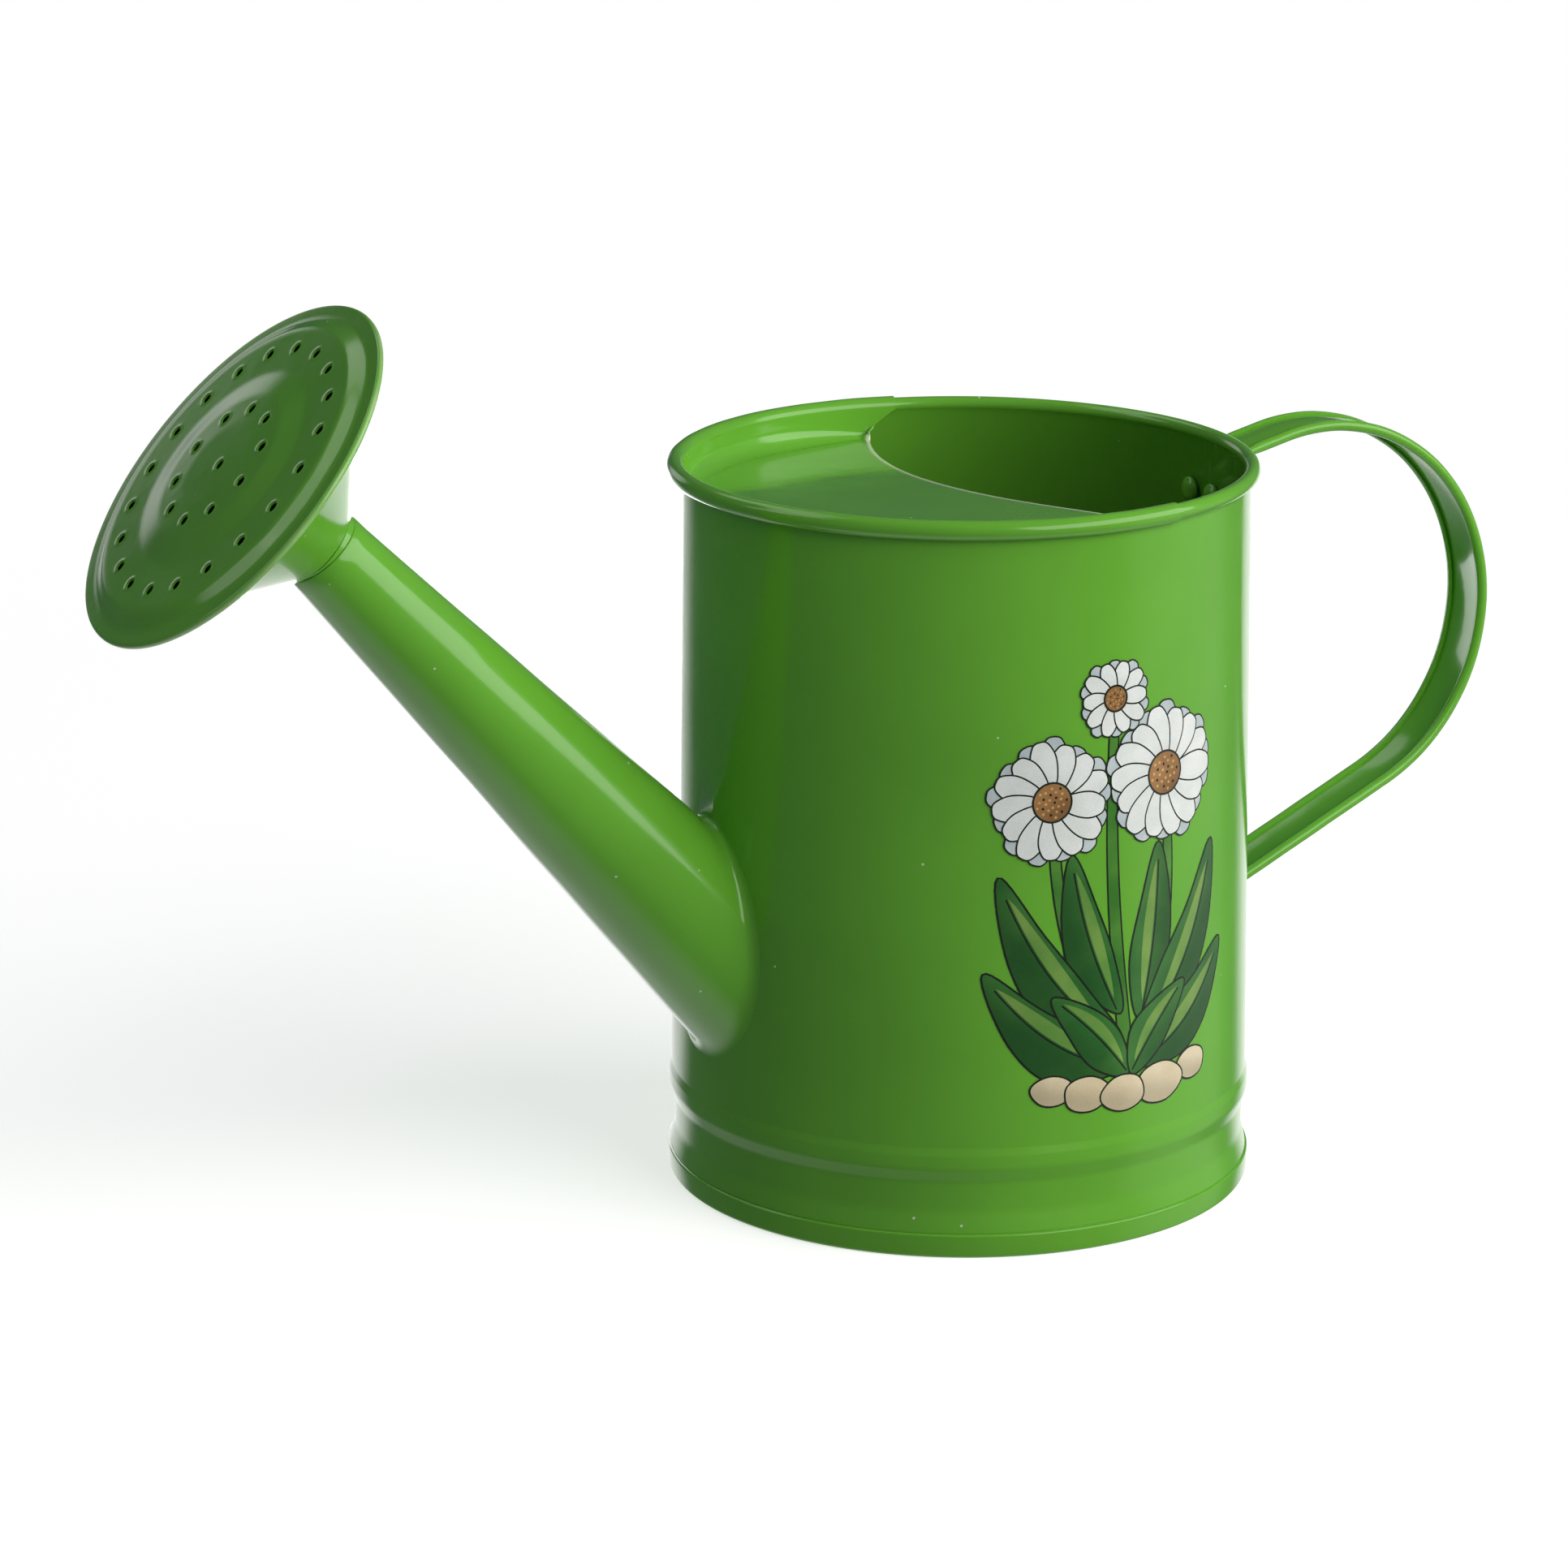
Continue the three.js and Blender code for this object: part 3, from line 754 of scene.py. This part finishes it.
def rose_face():
    """The perforated face: a fine triangulated sheet with punched holes and a rolled brim."""
    centres = hole_centres()
    points = []
    sides = 18
    lip_radii = (HOLE_RADIUS, 1.15, 1.3, 1.5, 1.8, 2.3)
    for centre in centres:
        for ring, radius in enumerate(lip_radii):
            for index in range(sides):
                angle = 2 * math.pi * (index + 0.5 * (ring % 2)) / sides
                points.append(centre + unit(angle) * radius)
    radii = list(np.arange(0.9, FACE_EDGE - 0.3, 0.9)) + [FACE_EDGE]
    for number, radius in enumerate(radii):
        count = 180 if radius == FACE_EDGE else max(10, int(2 * math.pi * radius / 1.25))
        for index in range(count):
            shift = 0 if radius == FACE_EDGE else 0.5 * (number % 2)
            point = unit(2 * math.pi * (index + shift) / count) * radius
            if all((point - centre).length > 2.7 for centre in centres):
                points.append(point)
    flat, faces = triangulate(points, lambda middle: all((middle - centre).length > HOLE_RADIUS * 0.97
                                                         for centre in centres))
    front, back = [], []
    for point in flat:
        height = face_height(point.length)
        nearest = min((point - centre).length for centre in centres)
        burr = 0.13 * math.exp(-((nearest - 1.4) / 0.22) ** 2) - 0.3 * max(0, 1.25 - nearest) / 0.2
        front.append(ROSE @ Vector((point.x, point.y, BRIM_PLANE + height + burr)))
        back.append(ROSE @ Vector((point.x, point.y, BRIM_PLANE + height - FACE_SHEET)))
    count = len(flat)
    edges = dict.fromkeys(edge for face in faces for edge in zip(face, face[1:] + face[:1]))
    rim_edges = [edge for edge in edges if (edge[1], edge[0]) not in edges
                 and flat[edge[0]].length < FACE_EDGE - 0.1]
    walls = [(first, first + count, second + count, second) for first, second in rim_edges]
    back_faces = [tuple(index + count for index in reversed(face)) for face in faces]
    all_faces = [tuple(face) for face in faces] + back_faces + walls
    brim = rounded([(radius, BRIM_PLANE + rise, bend) for radius, rise, bend in (
        (FACE_EDGE, 0.85, 0), (ROSE_RADIUS, 0.85, 0.75), (ROSE_RADIUS, -0.75, 0.75),
        (ROSE_RADIUS - 2.8, -0.75, 0.15), (ROSE_RADIUS - 2.8, -0.25, 0.15), (ROSE_RADIUS - 0.55, -0.2, 0.25),
        (ROSE_RADIUS - 0.55, 0.5, 0.25), (FACE_EDGE, 0.85 - FACE_SHEET, 0),
    )], closed=False)
    brim_vertices, brim_faces = turned(brim, even_angles(180), ROSE, closed=False)
    all_faces += [tuple(index + 2 * count for index in face) for face in brim_faces]
    face = make_object("rose_plate", front + back + brim_vertices, all_faces, [GREEN], 45, merge=0.02)
    mark_edge(face, lambda point: brim_wear(ROSE.inverted() @ point))
    return place(face, "rose_head", "green_enamel", "rose_face")


def brim_wear(local):
    """Paint is thin on the outermost edge of the brim."""
    radius = math.hypot(local.x, local.y)
    return 0.35 * max(0.0, 1 - abs(radius - ROSE_RADIUS) / 0.35) * (0.6 + 0.4 * wobble(*local, 6, 2.2))


def mark_edge(piece, amount):
    attribute = piece.data.attributes.new("edge", "FLOAT", "POINT")
    values = [amount(vertex.co / MM) for vertex in piece.data.vertices]
    attribute.data.foreach_set("value", values)


# ---- handle ---------------------------------------------------------------------------------

BOW_CENTRE = Vector((AXIS_X + 90, 115.4))
BOW_RADIUS = 44.4
LIMB_SLOPE = math.radians(25.2)
TOP_SLOPE = math.radians(14)
FOOT_BEND = 5.0
STRAP_HALF = 7.0
STRAP_SHEET = 0.7
UPPER_END = 138.0
LOWER_END = 37.5


def strap_line():
    """Points along the middle of the strap from the lower foot to the upper foot, with how far along it each
    lies.
    """
    lower_x, upper_x = (AXIS_X + wall_radius(end) + 0.1 + STRAP_SHEET / 2 for end in (LOWER_END, UPPER_END))
    bow_start = LIMB_SLOPE - math.pi / 2
    bow_end = math.pi / 2 + TOP_SLOPE

    def bend_centre(foot_x, bow_angle, slope):
        bow = BOW_CENTRE + BOW_RADIUS * unit(bow_angle)
        x = foot_x + FOOT_BEND
        return Vector((x, bow.y + (x - bow.x) * math.tan(slope) - FOOT_BEND / math.cos(slope)))

    lower = bend_centre(lower_x, bow_start, LIMB_SLOPE)
    upper = bend_centre(upper_x, bow_end, TOP_SLOPE)
    points = [Vector((lower_x, LOWER_END))]
    points += turn_points(lower, FOOT_BEND, math.pi, math.pi / 2 + LIMB_SLOPE)
    points += turn_points(BOW_CENTRE, BOW_RADIUS, bow_start, bow_end)
    points += turn_points(upper, FOOT_BEND, math.pi / 2 + TOP_SLOPE, math.pi)
    points.append(Vector((upper_x, UPPER_END)))
    return even_steps(points, 1.0)


def turn_points(centre, radius, start, end):
    steps = max(6, int(abs(end - start) * radius / 0.8))
    return [centre + radius * unit(start + (end - start) * step / steps) for step in range(steps + 1)]


def even_steps(points, step):
    """The line through the points at even steps, and how far along it each step is."""
    lengths = [0.0]
    for before, after in zip(points, points[1:]):
        lengths.append(lengths[-1] + (after - before).length)
    count = int(lengths[-1] / step)
    places = np.linspace(0, lengths[-1], count + 1)
    xs = np.interp(places, lengths, [point.x for point in points])
    ys = np.interp(places, lengths, [point.y for point in points])
    return [Vector((x, y)) for x, y in zip(xs, ys)], places


def strap_section(roll, width):
    """Half-rolled edges either side of a shallow web. roll runs from 0, flat, to 1, fully rolled."""
    bead = 0.38 + 0.85 * roll
    half = width - bead
    sheet = STRAP_SHEET / 2
    top, bottom = [], []
    for step in range(9):
        across = -half + bead * 0.6 + (2 * half - bead * 1.2) * step / 8
        crown = 0.35 * roll * math.cos(across / half * math.pi / 2)
        top.append((across, sheet + crown))
        bottom.append((across, -sheet + crown))
    right = arc(half, 0, bead, 135, -135, 16)
    left = [(-x, y) for x, y in reversed(right)]
    return top + right + bottom[::-1] + left


def handle_strap():
    points, places = strap_line()
    total = places[-1]
    columns = []
    for index, point in enumerate(points):
        before = points[max(index - 1, 0)]
        after = points[min(index + 1, len(points) - 1)]
        along = (after - before).normalized()
        out = Vector((along.y, -along.x))
        from_end = min(places[index] - 15, total - 17 - places[index])
        roll = smoothstep(clamp(from_end / 9))
        end = min(places[index], total - places[index])
        width = STRAP_HALF if end > 4 else STRAP_HALF - 4 + math.sqrt(max(16 - (4 - end) ** 2, 0.2))
        ripple = 0.06 * wobble(point.x, 0, point.y, 8, 4.4) * roll
        column = []
        for across, height in strap_section(roll, width):
            off = height + ripple
            column.append(Vector((point.x + out.x * off, across, point.y + out.y * off)))
        columns.append(column)
    count = len(columns[0])
    vertices = [vertex for column in columns for vertex in column]
    faces = grid_faces(len(columns), count, False, True)
    faces.append(tuple(range(count)))
    faces.append(tuple(len(vertices) - 1 - index for index in range(count)))
    strap = make_object("handle_bow", vertices, faces, [GREEN], 50)
    mark_edge(strap, lambda point: 0)
    return place(strap, "can", "green_enamel", "handle_strap")


def rivet(node):
    """A domed rivet, flat under both heads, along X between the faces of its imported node."""
    low, high = node_box(node)
    middle = (low + high) / 2
    through = Matrix.Translation((0, middle.y, middle.z)) @ Matrix.Rotation(math.radians(90), 4, "Y")
    seat = low.x + 1.55
    head = seat - 0.35
    strap_face = high.x - 1.35
    tail = strap_face + 0.3
    section = [(0.01, low.x)]
    for turn in range(18, 91, 18):
        a = math.radians(turn)
        section.append((2.95 * math.sin(a), head - (head - low.x) * math.cos(a)))
    section += [(2.8, seat), (1.45, seat), (1.45, strap_face), (2.25, strap_face), (2.38, strap_face + 0.25)]
    for turn in range(15, 76, 20):
        a = math.radians(turn)
        section.append((2.3 * math.cos(a), tail + (high.x - tail) * math.sin(a)))
    section.append((0.01, high.x))
    vertices, faces = turned(section, even_angles(40), through)
    piece = make_object(node + "_head", vertices, faces, [GREEN], 45, merge=0.03)
    return place(piece, "can", "green_enamel", node)


# ---- printed flowers ------------------------------------------------------------------------

def closed_curve(control, steps=10):
    """A smooth closed line through points, as a Catmull-Rom curve."""
    count = len(control)
    line = []
    for index in range(count):
        a, b, c, d = (Vector(control[(index + offset) % count]) for offset in (-1, 0, 1, 2))
        for step in range(steps):
            t = step / steps
            line.append(0.5 * (2 * b + (c - a) * t + (2 * a - 5 * b + 4 * c - d) * t * t
                               + (3 * b - a - 3 * c + d) * t ** 3))
    return line


def grown(line, margin):
    """A closed line moved outwards by a margin."""
    count = len(line)
    area = sum(here.x * after.y - after.x * here.y for here, after in zip(line, line[1:] + line[:1]))
    sign = 1 if area > 0 else -1
    moved = []
    for index in range(count):
        along = line[(index + 1) % count] - line[index - 1]
        if along.length > 0:
            along.normalize()
        moved.append(line[index] + Vector((along.y, -along.x)) * margin * sign)
    return moved


def resampled(line):
    """A closed line with its points no more than a millimetre apart."""
    points = []
    for before, after in zip(line, line[1:] + line[:1]):
        steps = math.ceil((after - before).length)
        points += [before.lerp(after, step / steps) for step in range(steps)]
    return points


PRINT_RADIUS = 63.4


class Decal:
    """Collects flat printed shapes in (round the wall, up) millimetres and wraps them onto the wall."""

    def __init__(self):
        self.vertices, self.faces, self.inks, self.shades = [], [], [], []
        self.layer = 0

    def patch(self, line, ink, shade=None):
        """Fills a closed line. shade gives 0 to 1 at each place."""
        self.layer += 1
        line = resampled(line)
        left, right = (round(f(p.x for p in line)) for f in (min, max))
        low, high = (round(f(p.y for p in line)) for f in (min, max))
        inside = [Vector((column + 0.5 * (row % 2), row)) for column in range(left, right + 1)
                  for row in range(low, high + 1)]
        count = len(line)
        edges = [(index, (index + 1) % count) for index in range(count)]
        result = geometry.delaunay_2d_cdt(line + inside, edges, [list(range(count))], 1, 1e-5)
        flat, faces = result[0], result[2]
        lift = 0.03 + 0.003 * self.layer
        lookup = {}
        for index in sorted({index for face in faces for index in face}):
            point = flat[index]
            lookup[index] = len(self.vertices)
            angle = -math.pi / 2 + point.x / PRINT_RADIUS
            radius = wall_radius(point.y) + lift + wall_dent(PRINT_RADIUS, angle, point.y)
            self.vertices.append(BODY @ on_circle(radius, angle, point.y))
            self.shades.append(shade(point) if shade else 0.0)
        for face in faces:
            self.faces.append([lookup[index] for index in face])
            self.inks.append(ink)

    def outlined(self, line, ink, width=0.45, shade=None):
        self.patch(grown(line, width), "line")
        self.patch(line, ink, shade)


def petal_line(centre, angle, length, width):
    """A rounded petal from a flower's centre outwards."""
    control = [(0.10, 0.0), (0.35, 0.36), (0.70, 0.50), (0.95, 0.30), (1.0, 0.0), (0.95, -0.30),
               (0.70, -0.50), (0.35, -0.36)]
    out = unit(angle)
    side = Vector((-out.y, out.x))
    return closed_curve([centre + out * length * a + side * width * b for a, b in control], 6)


def leaf_line(base, tip, width, curl):
    along = tip - base
    side = Vector((-along.y, along.x)).normalized()
    control = [(0, 0), (0.3, width * 0.75 + curl), (0.65, width * 0.6 + curl), (1, 0),
               (0.65, curl - width * 0.5), (0.3, curl - width * 0.55)]
    return closed_curve([base.lerp(tip, share) + side * off for share, off in control], 8)


def stem_line(base, top, width, sway):
    left, right = [], []
    for step in range(17):
        share = step / 16
        point = base.lerp(top, share) + Vector((sway * math.sin(math.pi * share), 0))
        half = width * (1.2 - 0.5 * share)
        left.append(point + Vector((-half, 0)))
        right.append(point + Vector((half, 0)))
    return left + right[::-1]


POLLEN_GRAINS = 26
GOLDEN_ANGLE = 2.39996


def daisy(decal, centre, size, petals, spin):
    rings = ((size, size * 0.42, "petal_shade"), (size * 0.94, size * 0.40, "petal"))
    for layer, (length, width, ink) in enumerate(rings):
        for index in range(petals):
            angle = spin + 2 * math.pi * (index + 0.5 * layer) / petals
            reach = length * (1 + 0.05 * math.sin(index * 2.4 + layer))
            line = petal_line(centre, angle, reach, width)
            decal.outlined(line, ink, 0.35,
                           lambda p: 0.55 * max(0, 1 - (p - centre).length / (0.55 * size)) ** 1.5)
    ring = [centre + size * 0.30 * unit(a) for a in even_angles(36)]
    decal.outlined(ring, "centre", 0.45,
                   lambda p: clamp(((centre - p).y - (centre - p).x * 0.6) / (0.34 * size)) * 0.55)
    for number in range(POLLEN_GRAINS):
        reach = size * 0.26 * math.sqrt((number + 0.5) / POLLEN_GRAINS)
        spot = centre + reach * unit(number * GOLDEN_ANGLE)
        dot = [spot + size * 0.022 * unit(a) for a in even_angles(10)]
        decal.patch(dot, "pollen" if number % 3 else "line")
        decal.layer -= 1


def leaf(decal, base, tip, width, curl):
    line = leaf_line(base, tip, width, curl)
    along = tip - base
    side = Vector((-along.y, along.x)).normalized()
    lit = side if side.y > 0 else -side
    decal.outlined(line, "leaf", 0.45, lambda p: clamp(0.3 - (p - base).dot(lit) / width) * 0.7)

    def spine(share, off):
        sway = math.sin(math.pi * min(share * 0.9 + 0.08, 1))
        return base.lerp(tip, share) + side * curl * sway + lit * off

    shares = [0.1 + 0.8 * step / 16 for step in range(17)]
    bulge = [width * 0.34 * math.sin(math.pi * (share - 0.1) / 0.8) ** 0.8 for share in shares]
    gleam = [spine(share, 0.5) for share in shares]
    gleam += [spine(share, 0.5 + out) for share, out in list(zip(shares, bulge))[-2:0:-1]]
    decal.patch(gleam, "leaf_light", lambda p: 0.35 * (p - base).length / along.length)
    vein = [0.03 + 0.87 * step / 16 for step in range(17)]
    decal.patch([spine(share, 0.2) for share in vein] + [spine(share, -0.2) for share in vein[::-1]], "line")


def pebble(decal, x, y, half_width, half_height):
    line = []
    for a in even_angles(30):
        bulge = 1 + 0.06 * math.sin(3 * a + x)
        line.append(Vector((x + half_width * math.cos(a) * bulge, y + half_height * math.sin(a))))

    def shade(p):
        return clamp(0.55 - (p.y - y) / half_height - 0.35 * (p.x - x) / half_width) * 0.5

    decal.outlined(line, "pebble", 0.4, shade)


def decal_print():
    inks = {
        "line": printed_ink("ink_line", (0.012, 0.018, 0.010), (0.018, 0.026, 0.014)),
        "leaf": printed_ink("ink_leaf", (0.030, 0.150, 0.028), (0.060, 0.220, 0.040), 90),
        "leaf_light": printed_ink("ink_leaf_light", (0.14, 0.33, 0.06), (0.27, 0.45, 0.10), 90),
        "stem": printed_ink("ink_stem", (0.045, 0.19, 0.025), (0.10, 0.30, 0.04), 90),
        "petal": printed_ink("ink_petal", (0.80, 0.84, 0.82), (0.88, 0.91, 0.90)),
        "petal_shade": printed_ink("ink_petal_shade", (0.50, 0.58, 0.60), (0.62, 0.69, 0.71)),
        "centre": printed_ink("ink_centre", (0.30, 0.15, 0.055), (0.42, 0.22, 0.085)),
        "pollen": printed_ink("ink_pollen", (0.62, 0.36, 0.11), (0.72, 0.46, 0.16)),
        "pebble": printed_ink("ink_pebble", (0.74, 0.62, 0.40), (0.84, 0.73, 0.51), 120),
    }
    decal = Decal()
    tops = (Vector((1, 121)), Vector((-13.5, 100)), Vector((14.5, 103)))
    for base, top, sway in zip(((5, 40), (2, 40), (8, 40)), tops, (-2, -4, 4)):
        decal.outlined(stem_line(Vector(base), top, 1.3, sway), "stem", 0.4)
    for base, tip, width, curl in (
        ((3, 52), (-9, 88), 7.5, 2), ((8, 50), (13, 88), 7.5, -1.5), ((3, 46), (-25, 84), 8.5, 4),
        ((8, 46), (31, 85), 8.5, -4), ((4, 40), (-28, 63), 9, 4), ((6, 40), (35, 62), 9, -4),
        ((5, 38), (-13, 57), 7, -1), ((6, 38), (21, 56), 7, 1),
    ):
        leaf(decal, Vector(base), Vector(tip), width, curl)
    above_leaves = decal.layer
    for centre, size, petals, spin in zip(tops, (8.5, 13.5, 15), (10, 13, 14), (0.35, 0.1, 0.2)):
        decal.layer = above_leaves
        daisy(decal, centre, size, petals, spin)
    decal.layer = above_leaves
    for size in ((-13, 36.5, 4.5, 3.2), (24, 36.5, 4.6, 3.4), (-5, 35, 5.2, 3.8), (14, 34.5, 6.4, 4.4),
                 (4, 34, 5.4, 3.9)):
        pebble(decal, *size)
    return decal, inks


def finish_decal():
    """Makes the print's mesh. Points of different inks aren't merged, so each keeps its shade."""
    decal, inks = decal_print()
    mesh = bpy.data.meshes.new("flower_print")
    mesh.from_pydata([vertex * MM for vertex in decal.vertices], [], decal.faces)
    for ink in inks.values():
        mesh.materials.append(ink)
    names = list(inks)
    mesh.polygons.foreach_set("material_index", [names.index(ink) for ink in decal.inks])
    smooth(mesh, 30)
    shade = mesh.attributes.new("shade", "FLOAT", "POINT")
    shade.data.foreach_set("value", decal.shades)
    if sum(face.normal.y for face in mesh.polygons) > 0:
        mesh.flip_normals()
    piece = add_to_scene(bpy.data.objects.new("flower_print", mesh))
    return place(piece, "can", "printed_transfer", "decal")


# ---- camera, stage and light ----------------------------------------------------------------

def camera():
    data = bpy.data.cameras.new("camera")
    data.sensor_width = 36
    data.lens = 119.1
    data.clip_end = 50
    item = add_to_scene(bpy.data.objects.new("camera", data))
    item.location = Vector((AXIS_X - 550.5, -956.5, 395.6)) * MM
    item.rotation_euler = (math.radians(90 - 15.63), 0, -math.radians(27.9))
    bpy.context.scene.camera = item


def staged_card(name, corners, nodes, hidden_from):
    """A flat rectangle, hidden from some kinds of ray."""
    mesh = bpy.data.meshes.new(name)
    mesh.from_pydata(corners, [], [(0, 1, 2, 3)])
    mesh.materials.append(nodes.material)
    item = add_to_scene(bpy.data.objects.new(name, mesh))
    for kind in hidden_from:
        setattr(item, "visible_" + kind, False)


def floor():
    """A pale floor that fades to plain white away from the can."""
    nodes = Nodes("pale_floor")
    away = nodes.add("ShaderNodeVectorMath", operation="LENGTH")
    nodes.feed(nodes.where(), away.inputs[0])
    fade = nodes.remap(away.outputs["Value"], 0.15, 0.75, kind="SMOOTHSTEP")
    white = nodes.add("ShaderNodeEmission", Strength=1.0)
    nodes.feed(nodes.mix_shaders(fade, nodes.shader.outputs[0], white.outputs[0]), nodes.surface)
    nodes.set(Base_Color=(0.80, 0.80, 0.80, 1), Roughness=0.9, Specular_IOR_Level=0.0,
              Emission_Color=(1, 1, 1, 1), Emission_Strength=0.60)
    size = 12.0
    corners = [(-size, -size, 0), (size, -size, 0), (size, size, 0), (-size, size, 0)]
    staged_card("floor", corners, nodes, ("diffuse", "glossy", "shadow"))


def soft_light(name, direction, distance, size, irradiance, colour=(1, 1, 1)):
    """A rectangular lamp aimed at the can, set by the irradiance that it gives there."""
    middle = Vector((0.0, 0.0, 0.09))
    data = bpy.data.lights.new(name, "AREA")
    data.shape = "RECTANGLE"
    data.size, data.size_y = size
    data.energy = irradiance * math.pi * distance ** 2
    data.color = colour
    item = add_to_scene(bpy.data.objects.new(name, data))
    item.location = middle + Vector(direction).normalized() * distance
    item.rotation_euler = (middle - item.location).to_track_quat("-Z", "Y").to_euler()
    item.visible_camera = False
    return item


ROOM_LEVEL = (0.09, 0.11, 0.12)
# Each panel has a direction, the angles from it in degrees where the panel is full and where it is gone,
# its level, which darkens the room when negative, and how much heights count in the angles.
PANELS = (
    ((0.42, 0.87, -0.24), 22, 38, 1.15, 2.0),
    ((-0.07, 0.98, 0.19), 6, 13, 0.9, 1.0),
    ((-0.81, 0.38, 0.44), 8, 13, 1.2, 1.0),
    ((-0.65, 0.27, 0.70), 8, 13, 1.4, 1.0),
    ((-0.36, 0.41, 0.84), 8, 13, 1.4, 1.0),
    ((-0.09, 0.69, 0.72), 8, 13, 1.2, 1.0),
    ((0.00, 0.20, -1.00), 25, 55, 0.8, 1.0),
    ((0.90, -0.35, -0.30), 15, 35, 0.35, 1.0),
    ((0.15, 0.91, 0.28), 22, 40, -0.055, 1.0),
)


def handle_card():
    """A white card behind the can, seen only in reflections, which gives the handle's web its gleam."""
    middle = Vector((0.04, 0.25, 0.07))
    across = Vector((0.065, 0.01, 0))
    up = Vector((0, 0, 0.075))
    corners = [middle - across - up, middle + across - up, middle + across + up, middle - across + up]
    nodes = Nodes("white_card")
    glow = nodes.add("ShaderNodeEmission", Strength=3.2)
    nodes.feed(glow.outputs[0], nodes.surface)
    nodes.material.cycles.emission_sampling = "NONE"
    staged_card("handle_card", corners, nodes, ("camera", "diffuse", "shadow"))


def world():
    """White to the camera; for everything else a dim room with soft bright panels."""
    backdrop = bpy.data.worlds.new("studio")
    backdrop.use_nodes = True
    nodes = Tree(backdrop.node_tree)
    room = nodes.tree.nodes["Background"]
    direction = nodes.add("ShaderNodeTexCoord").outputs["Generated"]
    total = 0.0
    for towards, full, gone, level, flatness in PANELS:
        flatten = Vector((1, 1, flatness))
        squash, unit_length, dot = (nodes.add("ShaderNodeVectorMath", operation=operation)
                                    for operation in ("MULTIPLY", "NORMALIZE", "DOT_PRODUCT"))
        squash.inputs[1].default_value = flatten
        dot.inputs[1].default_value = (Vector(towards) * flatten).normalized()
        nodes.feed(direction, squash.inputs[0])
        nodes.feed(squash.outputs[0], unit_length.inputs[0])
        nodes.feed(unit_length.outputs[0], dot.inputs[0])
        edges = [math.cos(math.radians(angle)) for angle in (gone, full)]
        panel = nodes.remap(dot.outputs["Value"], *edges, high=level, kind="SMOOTHSTEP")
        total = nodes.calculate("ADD", total, panel)
    colour = nodes.mix(total, (*ROOM_LEVEL, 1), (1, 1, 1, 1), clamped=False)
    nodes.feed(colour, room.inputs["Color"])
    seen = nodes.add("ShaderNodeBackground", Color=(1, 1, 1, 1), Strength=1.0)
    path = nodes.add("ShaderNodeLightPath")
    sky = nodes.mix_shaders(path.outputs["Is Camera Ray"], room.outputs[0], seen.outputs[0])
    nodes.feed(sky, nodes.tree.nodes["World Output"].inputs["Surface"])
    bpy.context.scene.world = backdrop


def lights():
    key = soft_light("key", (0.53, -0.80, 0.52), 1.6, (2.2, 1.25), 4.2, (1.0, 0.97, 0.92))
    key.visible_glossy = False
    sheen = soft_light("key_sheen", (0.53, -0.80, 0.45), 1.6, (2.2, 1.15), 2.3, (1.0, 0.98, 0.95))
    sheen.visible_diffuse = False


# ---- the object -----------------------------------------------------------------------------

camera()
floor()
world()
lights()
handle_card()
bpy.context.scene.view_settings.view_transform = "Standard"

body_wall()
bottom_pan()
half_cover()
spout_tube()
rose_neck()
rose_funnel()
rose_face()
handle_strap()
for node in ("rivet_upper_front", "rivet_upper_back", "rivet_lower_front", "rivet_lower_back"):
    rivet(node)
finish_decal()
